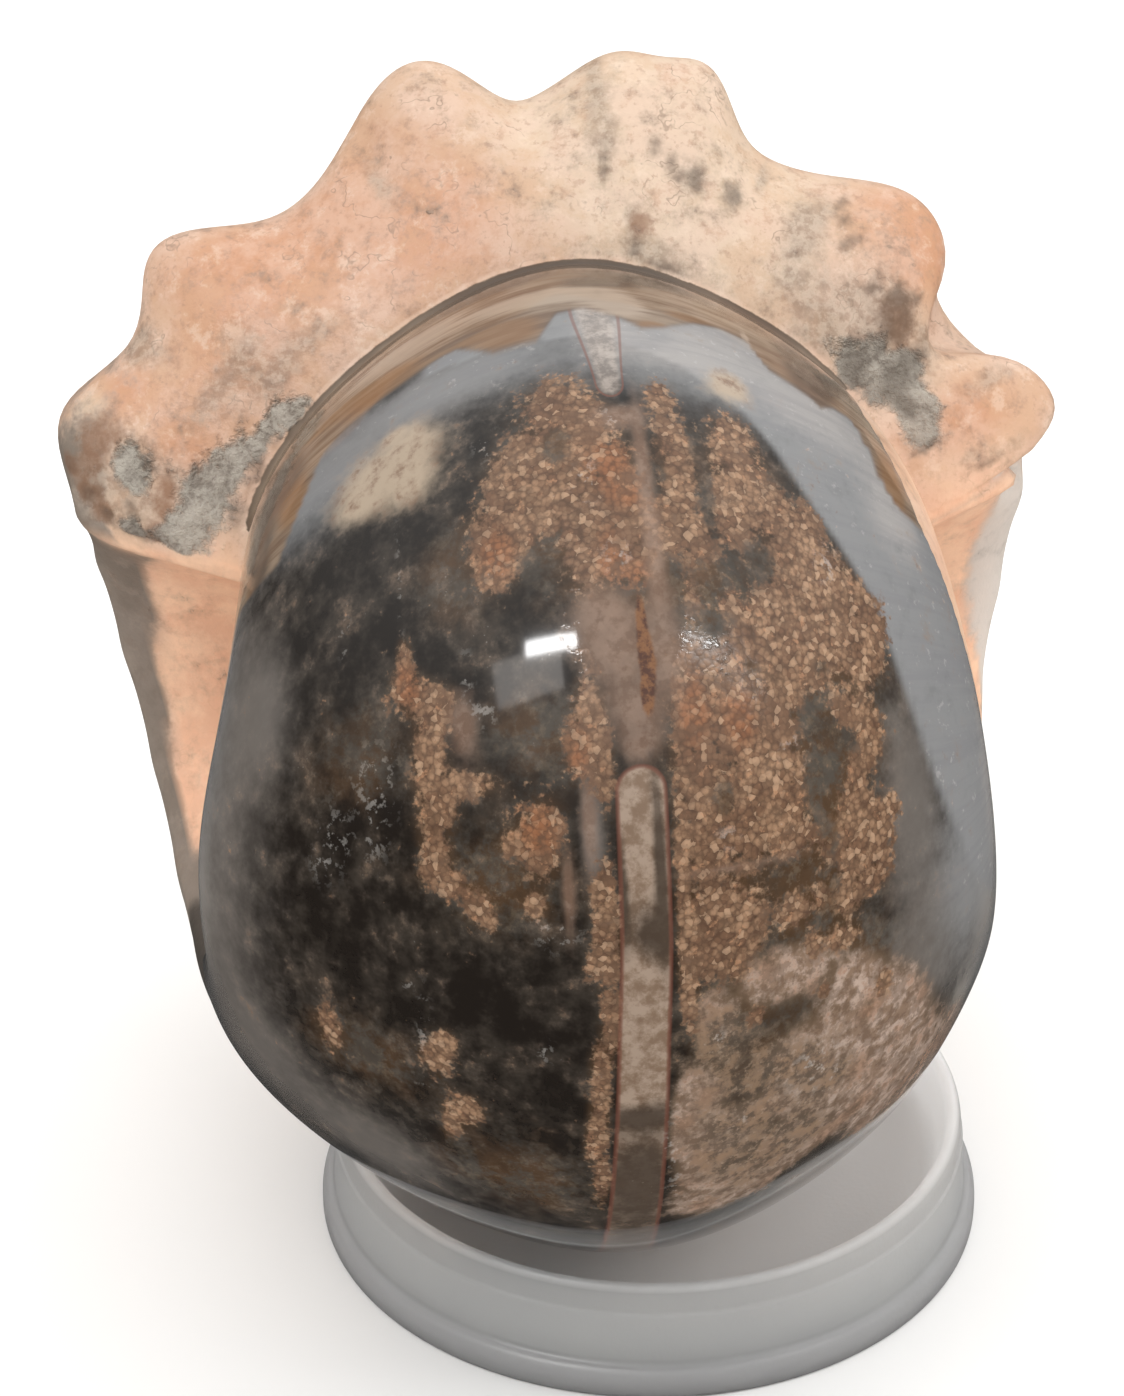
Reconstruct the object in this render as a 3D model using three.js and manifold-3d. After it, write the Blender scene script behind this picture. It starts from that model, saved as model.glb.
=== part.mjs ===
// A ground and polished fossil ammonite standing in a shallow round plastic display stand.
//
// The ammonite is one stone: a fat, tightly wound coil whose axis lies along X. Its last whorl starts
// at the top with a ribbed, knobbed crown, runs down behind, under and up the front, and slips in
// under its own beginning. The stand is a low round dish with a foot flange and a flat floor.
// Millimetres, +Z up, the front towards -Y, the origin at the middle of the stand's underside.
import * as THREE from 'three';
import { mergeVertices } from 'three/addons/utils/BufferGeometryUtils.js';
import Module from 'manifold-3d';

const wasm = await Module();
wasm.setup();

const radians = THREE.MathUtils.degToRad;

// ---- driving dimensions (mm and degrees) ----

// The middle of the coil's axis above the stand, and how far the stone leans to the side.
const COIL_CENTRE = new THREE.Vector3(-4.5, -2.1, 42.5);
const LEAN = 1.7;

// The open end of the last whorl: where it lies, and how far its venter and flanks stand out.
const OPEN_END = 105.4;            // degrees round the axis from the front, rising
const VENTER_RADIUS = 43.0;
const HALF_WIDTH = { left: 35.0, right: 34.4 };
// How many times larger the coil gets in one turn: the last whorl, then the whorls inside it.
const LAST_GROWTH = { radius: 1.326, width: 1.511 };
const EARLY_GROWTH = { radius: 2.0, width: 1.9 };
const EARLY_TURNS = 3;

// The whorl's section: where it is widest and where its inner side ends, as shares of the venter's
// radius, and how much its shoulders are drawn in towards the venter.
const FLANK_SHARE = 0.40;
const DORSUM_SHARE = 0.25;
const SHOULDER_PINCH = 0.27;

// The ground slope that climbs from the buried venter to the first rib.
const SLOPE_ANGLE = 15;
const SLOPE_POWER = 0.86;

// Knobs and hollows of the crown. Around is degrees round the section from the venter, left of it
// negative; back is degrees back from the open end; the last two are half-sizes in degrees.
const CROWN = [
  { around: -73, back: 20, height: 3.3, breadth: 11, length: 10 },
  { around: -68, back: 16, height: -0.9, breadth: 6, length: 8 },
  { around: -52, back: 14, height: 4.3, breadth: 7.5, length: 10 },
  { around: -17, back: 14, height: 5.8, breadth: 13.5, length: 10 },
  { around: -7, back: 14, height: -1.8, breadth: 6, length: 8 },
  { around: 11, back: 14, height: 4.5, breadth: 9.5, length: 10 },
  { around: 22, back: 14, height: 3.6, breadth: 6, length: 8 },
  { around: 50, back: 14, height: 2.8, breadth: 9, length: 10 },
  { around: 67, back: 14.5, height: -5.9, breadth: 6, length: 9 },
  { around: 84, back: 15, height: 1.0, breadth: 6, length: 9 },
  { around: 98, back: 20, height: -5.0, breadth: 9.5, length: 14 },
];
// The lower ribs behind it: two knobs a side on a low ridge, fading towards the crystal filling.
const LATER_RIBS = { first: 46, spacing: 31, count: 5, height: 2.8, fade: 0.82 };
const LATER_KNOBS = [{ around: 17, size: 1.0 }, { around: 50, size: 0.8 }];
const LATER_KNOB_SIZE = { breadth: 11, length: 9 };
const RIDGE = { share: 0.35, reach: 75, length: 7 };
// Low swellings and hollows of the flanks.
const SWELLINGS = [
  { around: -97, back: 60, height: 0.7, breadth: 20, length: 40 },
  { around: -88, back: 258, height: 1.8, breadth: 24, length: 42 },
  { around: 90, back: 106, height: -0.6, breadth: 20, length: 22 },
  { around: 72, back: 202, height: -0.9, breadth: 18, length: 38 },
];

// How finely the coil is cut into facets: the section's sides are shorter on the outer side and the
// flanks, as far round as OUTER_REACH, than on the inner side.
const OUTER_REACH = 98;
const OUTER_SIDES = 28;
const INNER_SIDES = 10;
const SLOPE_STEP = 2.5;
const RIB_STEP = 4;
const SMOOTH_STEP = 7.5;
const LAST_RIB = 180;
const EARLY_STEP = 20;
const EARLY_SIDES = 20;
const EARLY_INSET = 0.3;           // how far the early whorls stay under the last one's skin
const EARLY_START = 340;
const CORE_RADIUS = 2.4;
const CORE_HALF_WIDTH = 1.8;

// The stand's outline from the middle of its underside, up the outside and down into the dish,
// whose floor lies just under the stone.
const STAND_OUTLINE = [
  [0, 0], [24.4, 0], [24.4, 1.5], [24.1, 2.1], [23.5, 2.6], [23.2, 7.6], [23.0, 8.4], [22.6, 8.8],
  [22.2, 8.8], [21.8, 8.4], [21.4, 4.9], [20.4, 4.0], [0, 4.0],
];
const STAND_SIDES = 64;

// ---- the coil ----

// Size of the coil at an angle back from its open end, as a share of its size there.
function coilShare(back, measure) {
  const last = Math.min(back, 360) / 360;
  const early = Math.max(back - 360, 0) / 360;
  return LAST_GROWTH[measure] ** -last * EARLY_GROWTH[measure] ** -early;
}

// A point of the smooth section: across the coil, and out from its axis.
function sectionPoint(around, back) {
  const venter = VENTER_RADIUS * coilShare(back, 'radius');
  const flank = FLANK_SHARE * venter;
  const sine = Math.sin(radians(around));
  const cosine = Math.cos(radians(around));
  const halfWidth = (sine < 0 ? HALF_WIDTH.left : HALF_WIDTH.right) * coilShare(back, 'width');
  const pinch = 1 - SHOULDER_PINCH * Math.max(cosine, 0) ** 2;
  const reach = cosine > 0 ? venter - flank : flank - DORSUM_SHARE * venter;
  return new THREE.Vector2(halfWidth * sine * pinch, flank + reach * cosine);
}

const bell = (distance, breadth) => Math.exp(-((distance / breadth) ** 2));

function knobHeight(knob, around, back) {
  const across = bell(around - knob.around, knob.breadth);
  return knob.height * across * bell(back - knob.back, knob.length);
}

// The knobs and the ridge of one of the lower ribs, the same on both sides.
function ribHeight(rib, side, back) {
  const ridge = RIDGE.share * bell(side / RIDGE.reach, 1) * bell(back - rib.back, RIDGE.length);
  const knobs = LATER_KNOBS.map(({ around: row, size }) => {
    const knob = { around: row, back: rib.back, height: size, ...LATER_KNOB_SIZE };
    return knobHeight(knob, side, back);
  });
  return rib.height * Math.max(ridge, ...knobs);
}

const laterRibs = Array.from({ length: LATER_RIBS.count }, (_, i) => ({
  back: LATER_RIBS.first + i * LATER_RIBS.spacing,
  height: LATER_RIBS.height * LATER_RIBS.fade ** i,
}));

// How high the surface stands over the smooth section.
function reliefHeight(turn, back) {
  const around = turn > 180 ? turn - 360 : turn;
  const side = Math.abs(around);
  const lumps = [...CROWN, ...SWELLINGS].map((knob) => knobHeight(knob, around, back));
  const ribs = laterRibs.map((rib) => ribHeight(rib, side, back));
  return [...lumps, ...ribs].reduce((sum, height) => sum + height, 0);
}

// A point of the last whorl: ribbed, and ground back to the whorl beneath at its open end.
function whorlPoint(around, back) {
  const direction = new THREE.Vector2(Math.sin(radians(around)), Math.cos(radians(around)));
  const point = sectionPoint(around, back).addScaledVector(direction, reliefHeight(around, back));
  const climb = Math.sin((Math.min(back / SLOPE_ANGLE, 1) * Math.PI) / 2) ** SLOPE_POWER;
  return sectionPoint(around, back + 360).lerp(point, climb);
}

// A point of the whorls before it, just under the skin of the last one where they meet.
function earlyPoint(around, back) {
  const direction = new THREE.Vector2(Math.sin(radians(around)), Math.cos(radians(around)));
  return sectionPoint(around, back).addScaledVector(direction, -EARLY_INSET);
}

// From the section into the coil's own frame, with its axis along X.
function onCoil(point, back) {
  const angle = radians(OPEN_END + back);
  return [point.x, -point.y * Math.cos(angle), point.y * Math.sin(angle)];
}

// Rings of points joined into a skin, closed on itself or with a flat cap at each end.
function skinOf(rings, closed) {
  const sides = rings[0].length;
  const faces = [];
  const joins = closed ? rings.length : rings.length - 1;
  for (let i = 0; i < joins; i += 1) {
    const here = i * sides;
    const next = ((i + 1) % rings.length) * sides;
    for (let j = 0; j < sides; j += 1) {
      const k = (j + 1) % sides;
      faces.push(here + j, here + k, next + j, here + k, next + k, next + j);
    }
  }
  if (!closed) {
    const last = (rings.length - 1) * sides;
    for (let j = 1; j < sides - 1; j += 1) {
      faces.push(0, j + 1, j, last, last + j, last + j + 1);
    }
  }
  const geometry = new THREE.BufferGeometry();
  geometry.setAttribute('position', new THREE.Float32BufferAttribute(rings.flat(2), 3));
  geometry.setIndex(faces);
  return geometry;
}

// Angles round the section in even steps from a start up to an end, the end left out.
function evenAngles(start, end, sides) {
  return Array.from({ length: sides }, (_, side) => start + ((end - start) * side) / sides);
}

const ringAt = (back, angles, pointAt) => angles.map((around) => onCoil(pointAt(around, back), back));

// The last whorl closes on itself: after one turn it has the size that the slope starts from.
function lastWhorl() {
  const angles = [
    ...evenAngles(-OUTER_REACH, OUTER_REACH, OUTER_SIDES),
    ...evenAngles(OUTER_REACH, 360 - OUTER_REACH, INNER_SIDES),
  ];
  const rings = [];
  let back = 0;
  while (back < 360) {
    rings.push(ringAt(back, angles, whorlPoint));
    if (back < SLOPE_ANGLE) back += SLOPE_STEP;
    else if (back < LAST_RIB) back += RIB_STEP;
    else back += SMOOTH_STEP;
  }
  return skinOf(rings, true);
}

function earlyWhorls() {
  const angles = evenAngles(0, 360, EARLY_SIDES);
  const rings = [];
  for (let back = EARLY_START; back <= 360 * (1 + EARLY_TURNS); back += EARLY_STEP) {
    rings.push(ringAt(back, angles, earlyPoint));
  }
  return skinOf(rings, false);
}

function core() {
  const ball = new THREE.SphereGeometry(CORE_RADIUS, 16, 10);
  return ball.scale(CORE_HALF_WIDTH / CORE_RADIUS, 1, 1);
}

// ---- joining closed meshes ----

function toSolid(geometry) {
  const bare = new THREE.BufferGeometry();
  bare.setAttribute('position', geometry.getAttribute('position'));
  bare.setIndex(geometry.getIndex());
  const merged = mergeVertices(bare, 1e-4);
  return new wasm.Manifold(new wasm.Mesh({
    numProp: 3,
    vertProperties: Float32Array.from(merged.getAttribute('position').array),
    triVerts: Uint32Array.from(merged.getIndex().array),
  }));
}

function toGeometry(solid) {
  const { vertProperties, triVerts } = solid.getMesh();
  const geometry = new THREE.BufferGeometry();
  geometry.setAttribute('position', new THREE.BufferAttribute(vertProperties, 3));
  geometry.setIndex(new THREE.BufferAttribute(triVerts, 1));
  geometry.computeVertexNormals();
  return geometry;
}

// ---- the pieces ----

function makeAmmonite() {
  const solid = toSolid(lastWhorl()).add(toSolid(earlyWhorls())).add(toSolid(core()));
  const stone = new THREE.MeshStandardMaterial({ color: '#b08a72', roughness: 0.25, metalness: 0 });
  const mesh = new THREE.Mesh(toGeometry(solid), stone);
  mesh.name = 'ammonite';
  mesh.position.copy(COIL_CENTRE);
  mesh.rotation.y = -radians(LEAN);
  return mesh;
}

function makeStand() {
  const outline = STAND_OUTLINE.map(([radius, height]) => new THREE.Vector2(radius, height));
  const dish = new THREE.LatheGeometry(outline, STAND_SIDES).rotateX(Math.PI / 2);
  const plastic = new THREE.MeshStandardMaterial({ color: '#c4c4c2', roughness: 0.45, metalness: 0 });
  const mesh = new THREE.Mesh(dish, plastic);
  mesh.name = 'display_stand';
  return mesh;
}

const fossilOnStand = new THREE.Group();
fossilOnStand.add(makeAmmonite(), makeStand());

export default fossilOnStand;
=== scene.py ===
"""Dresses a ground and polished fossil ammonite and its frosted plastic display stand."""
import math

import bpy
import numpy as np
from bpy.props import FloatProperty, FloatVectorProperty, PointerProperty
from mathutils import Matrix, Quaternion, Vector, noise


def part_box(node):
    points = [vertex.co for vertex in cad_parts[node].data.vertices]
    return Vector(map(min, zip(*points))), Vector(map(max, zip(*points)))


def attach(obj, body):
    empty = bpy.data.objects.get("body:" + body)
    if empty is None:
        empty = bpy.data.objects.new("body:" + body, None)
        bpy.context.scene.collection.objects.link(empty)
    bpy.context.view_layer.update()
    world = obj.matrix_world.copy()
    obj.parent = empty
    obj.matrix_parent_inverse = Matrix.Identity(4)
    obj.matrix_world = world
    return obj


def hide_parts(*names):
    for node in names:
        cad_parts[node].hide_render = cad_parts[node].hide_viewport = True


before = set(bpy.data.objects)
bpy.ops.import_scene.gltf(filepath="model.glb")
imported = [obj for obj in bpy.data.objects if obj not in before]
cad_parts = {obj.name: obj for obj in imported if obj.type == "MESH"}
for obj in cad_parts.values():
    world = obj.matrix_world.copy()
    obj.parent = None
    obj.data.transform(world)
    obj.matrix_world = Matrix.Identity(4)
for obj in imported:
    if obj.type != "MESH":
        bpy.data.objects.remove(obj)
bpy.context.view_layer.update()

bl_info = {
    "name": "Fossil ammonite on a display stand",
    "version": (1, 0, 0),
    "blender": (4, 5, 0),
    "location": "3D View > Sidebar > Ammonite",
    "description": "Builds a ground and polished fossil ammonite in a frosted plastic display stand",
    "category": "Add Mesh",
}

MM = 0.001
STAND_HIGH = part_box("display_stand")[1]


def linear(code):
    """An sRGB hex colour as the linear red, green and blue that Blender works in."""
    parts = [int(code[i:i + 2], 16) / 255 for i in (1, 3, 5)]
    return [c / 12.92 if c <= 0.04045 else ((c + 0.055) / 1.055) ** 2.4 for c in parts]


# ---- settings ----


def length_setting(name, length, description):
    """A length in metres."""
    return FloatProperty(name=name, description=description, default=length, unit="LENGTH")


def angle_setting(name, degrees, description):
    """An angle, which Blender keeps in radians and shows in degrees."""
    return FloatProperty(
        name=name, description=description, default=math.radians(degrees),
        subtype="ANGLE", unit="ROTATION")


def share_setting(name, share, description):
    """A share of something else, from 0 to 1."""
    return FloatProperty(name=name, description=description, default=share, subtype="FACTOR")


def colour_setting(name, code, description):
    """A colour to choose in the sidebar, which starts as this hex colour."""
    return FloatVectorProperty(
        name=name, description=description, size=3, default=linear(code), subtype="COLOR")


class CoilSettings(bpy.types.PropertyGroup):
    """The ammonite's coil: its place, its size and how it grows."""

    centre: FloatVectorProperty(
        name="Centre", description="Middle of the coil's axis", size=3,
        default=(-4.5 * MM, -2.1 * MM, 42.5 * MM), subtype="TRANSLATION", unit="LENGTH")
    lean: angle_setting("Lean", 1.7, "How far the stone leans to the side")
    open_end: angle_setting("Open end", 105.4, "Where the last whorl ends, round the axis from the front")
    venter: length_setting("Outer radius", 43.0 * MM, "Radius of the coil's outer side at its open end")
    left_width: length_setting("Left half-width", 35.0 * MM, "Left half-width of the coil's open end")
    right_width: length_setting("Right half-width", 34.4 * MM, "Right half-width of the coil's open end")
    flank_share: share_setting("Flank share", 0.40, "Radius of the widest place, against the outer radius")
    dorsum_share: share_setting("Inner share", 0.25, "Radius of the inner side, against the outer radius")
    pinch: share_setting("Shoulder pinch", 0.27, "How much the shoulders draw in towards the outer side")
    slope: angle_setting("Ground slope", 15, "Length of the ground slope round the coil")


class StoneColours(bpy.types.PropertyGroup):
    """The colours of the fossil's limestone and calcite."""

    limestone: colour_setting("Limestone", "#CBA58A", "Ground peach limestone")
    limestone_pale: colour_setting("Pale limestone", "#D3B59D", "Paler parts of the limestone")
    cream: colour_setting("Cream", "#D6C2AA", "Cream parts of the crown")
    patina: colour_setting("Patina", "#857A70", "Grey-brown skin of the flanks")
    crystal: colour_setting("Grey crystals", "#ADA69B", "Rough grey crystals on the crown")
    # real stains, and painted shadow beside the crystals and in the crevices
    stain_and_shadow: colour_setting("Stain", "#4E4237", "Dark brown stains and crevices")
    calcite: colour_setting("Smoky calcite", "#1F1A16", "Dark polished calcite")
    amber: colour_setting("Amber calcite", "#58422F", "Brown, clearer calcite")
    # the haze is partly real cloudy calcite and partly painted reflection of the bright surroundings
    haze_and_sheen: colour_setting("Haze", "#858585", "Blue-grey cloudy calcite")
    veil: colour_setting("Veil", "#B3A08A", "Beige veil in the calcite")
    crust: colour_setting("Crust", "#6F5340", "Brown granular crusts")
    crust_pale: colour_setting("Pale crust", "#9E7D62", "Lighter grains of the crusts")
    shell: colour_setting("Shell", "#6C5747", "Streaky shell layer under the arch")
    shell_pale: colour_setting("Pale shell", "#8E7C6A", "Pale streaks of the shell layer")
    ochre: colour_setting("Ochre", "#84603F", "Rusty streaks in the shell layer")
    siphuncle: colour_setting("Siphuncle", "#A59180", "Filling of the tube down the front")
    siphuncle_wall: colour_setting("Siphuncle wall", "#75483A", "Thin walls of the tube")


class StandSettings(bpy.types.PropertyGroup):
    """The round plastic display stand."""

    radius: length_setting("Radius", STAND_HIGH.x, "Outer radius of the stand's foot")
    height: length_setting("Height", STAND_HIGH.z, "Height of the stand's rim")
    colour: colour_setting("Plastic", "#B3B3B1", "Hazy frosted plastic")


class StudioSettings(bpy.types.PropertyGroup):
    """The camera and the lights."""

    distance: length_setting("Camera distance", 0.340, "From the stand to the camera")
    side: angle_setting("Camera side", -6.7, "How far to the right of the front the camera stands")
    height: angle_setting("Camera height", 37.0, "How far above the horizon the camera stands")
    sight_side: angle_setting("Sight side", -5.334, "Which way the camera looks, round from the front")
    sight_height: angle_setting("Sight height", 30.600, "How far down the camera looks")
    focal_length: FloatProperty(
        name="Focal length", description="Focal length of the lens in millimetres", default=115.7)
    daylight: FloatProperty(
        name="Daylight", description="Strength of the light all round", default=0.95)
    softbox: FloatProperty(
        name="Softbox", description="Power of the large soft light", default=2.0, unit="POWER")
    window: FloatProperty(
        name="Window", description="Power of the window light", default=2.0, unit="POWER")


# ---- the coil's shape ----

# How many times larger the coil gets in one turn: the last whorl, then the whorls inside it.
LAST_GROWTH = {"radius": 1.326, "width": 1.511}
EARLY_GROWTH = {"radius": 2.0, "width": 1.9}
EARLY_TURNS, EARLY_START = 3, 340
# The early whorls lie a little under the last one, with this many low ribs in a turn.
EARLY_SUNK, EARLY_RIB_HEIGHT, EARLY_RIBS = 0.3, 0.5, 12
EARLY_RIB_PLACE, EARLY_RIB_BREADTH = 105, 38
CORE_RADIUS, CORE_HALF_WIDTH = 2.4, 1.8
SLOPE_POWER = 0.86

# Knobs and hollows of the crown, and the low swellings and hollows of the flanks: around, back
# (degrees), height (mm), breadth, length (degrees).
CROWN = [
    (-73, 20, 3.3, 11, 10), (-68, 16, -0.9, 6, 8), (-52, 14, 4.3, 7.5, 10), (-17, 14, 5.8, 13.5, 10),
    (-7, 14, -1.8, 6, 8), (11, 14, 4.5, 9.5, 10), (22, 14, 3.6, 6, 8), (50, 14, 2.8, 9, 10),
    (67, 14.5, -5.9, 6, 9), (84, 15, 1.0, 6, 9), (98, 20, -5.0, 9.5, 14),
    (-97, 60, 0.7, 20, 40), (-88, 258, 1.8, 24, 42), (90, 106, -0.6, 20, 22), (72, 202, -0.9, 18, 38),
]
# The lower ribs behind it: two knobs a side on a low ridge.
RIB_FIRST, RIB_SPACING, RIB_COUNT = 46, 31, 5
RIB_HEIGHT, RIB_FADE = 2.8, 0.82
RIB_KNOBS = [(17, 1.0), (50, 0.8)]
KNOB_BREADTH, KNOB_LENGTH = 11, 9
RIDGE_SHARE, RIDGE_REACH, RIDGE_LENGTH = 0.35, 75, 7

# The rough crystals and crevices of the crown, in millimetres.
CRYSTAL_SIZE, CRYSTAL_HEIGHT = 1.4, 0.35

# How long a degree is on the polished front's skin, in millimetres, for streaks that follow its arch.
DEGREE_AROUND, DEGREE_BACK = 0.38, 0.65

# Gentle dents and swellings ground into the crown, too small for the solid: as in CROWN.
DIMPLES = [
    (-27, 9.5, -0.8, 2.2, 2.6), (-44, 9.5, -0.5, 5, 2.5), (-3, 9.0, -0.6, 4, 2.5), (34, 9, -0.6, 5, 2.5),
    (20, 5.4, -0.35, 8, 0.7), (45, 8, -0.45, 2.2, 3), (62, 4, -0.5, 3, 2.0), (-82, 5, -0.5, 5, 1.2),
    (14, 1.0, -0.35, 3, 0.4), (60, 0.8, -0.4, 6, 0.6),
]


def bell(distance, breadth):
    """1 in the middle, and fading to nothing beyond its breadth."""
    return np.exp(-(distance / breadth) ** 2)


def knob_height(knob, around, back):
    """How high a knob stands at a place, in millimetres."""
    middle, place, height, breadth, length = knob
    return height * bell(around - middle, breadth) * bell(back - place, length)


def coil_share(back, measure):
    """Size of the coil at an angle back from its open end, as a share of its size there."""
    last = np.minimum(back, 360) / 360
    early = np.maximum(back - 360, 0) / 360
    return LAST_GROWTH[measure] ** -last * EARLY_GROWTH[measure] ** -early


def section_point(coil, around, back):
    """A point of the smooth section: across the coil, and out from its axis."""
    venter = coil.venter * coil_share(back, "radius")
    flank = coil.flank_share * venter
    sine, cosine = np.sin(np.radians(around)), np.cos(np.radians(around))
    half_width = np.where(sine < 0, coil.left_width, coil.right_width) * coil_share(back, "width")
    pinch = 1 - coil.pinch * np.maximum(cosine, 0) ** 2
    reach = np.where(cosine > 0, venter - flank, flank - coil.dorsum_share * venter)
    return half_width * sine * pinch, flank + reach * cosine


def relief_height(around, back):
    """How high the last whorl's knobs and ribs stand over the smooth section, in millimetres."""
    height = sum(knob_height(knob, around, back) for knob in CROWN)
    side = np.abs(around)
    for i in range(RIB_COUNT):
        place = RIB_FIRST + i * RIB_SPACING
        rib = RIDGE_SHARE * bell(side, RIDGE_REACH) * bell(back - place, RIDGE_LENGTH)
        for row, size in RIB_KNOBS:
            knob = (row, place, size, KNOB_BREADTH, KNOB_LENGTH)
            rib = np.maximum(rib, knob_height(knob, side, back))
        height = height + RIB_HEIGHT * RIB_FADE ** i * rib
    return height


def whorl_point(coil, around, back):
    """A point of the last whorl: ribbed, and ground back to the whorl beneath at its open end."""
    across, out = section_point(coil, around, back)
    height = relief_height(around, back) * MM
    across = across + height * np.sin(np.radians(around))
    out = out + height * np.cos(np.radians(around))
    climb = np.sin(np.minimum(back / math.degrees(coil.slope), 1) * math.pi / 2) ** SLOPE_POWER
    across_under, out_under = section_point(coil, around, back + 360)
    return across_under + (across - across_under) * climb, out_under + (out - out_under) * climb


def on_coil(coil, across, out, back):
    """From the section into the row frame, with the stone leaning to its side."""
    angle = coil.open_end + np.radians(back)
    place = np.stack([across, -out * np.cos(angle), out * np.sin(angle)], axis=-1)
    turn = np.array(Matrix.Rotation(-coil.lean, 3, "Y"))
    return place @ turn.T + np.array(coil.centre)


# ---- the stone's masks ----
# A mask says where one of the stone's colours shows. Some are worked out for each place.
WORKED_OUT_MASKS = ("calcite", "rim", "tube", "neck", "bank", "patina")

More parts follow.
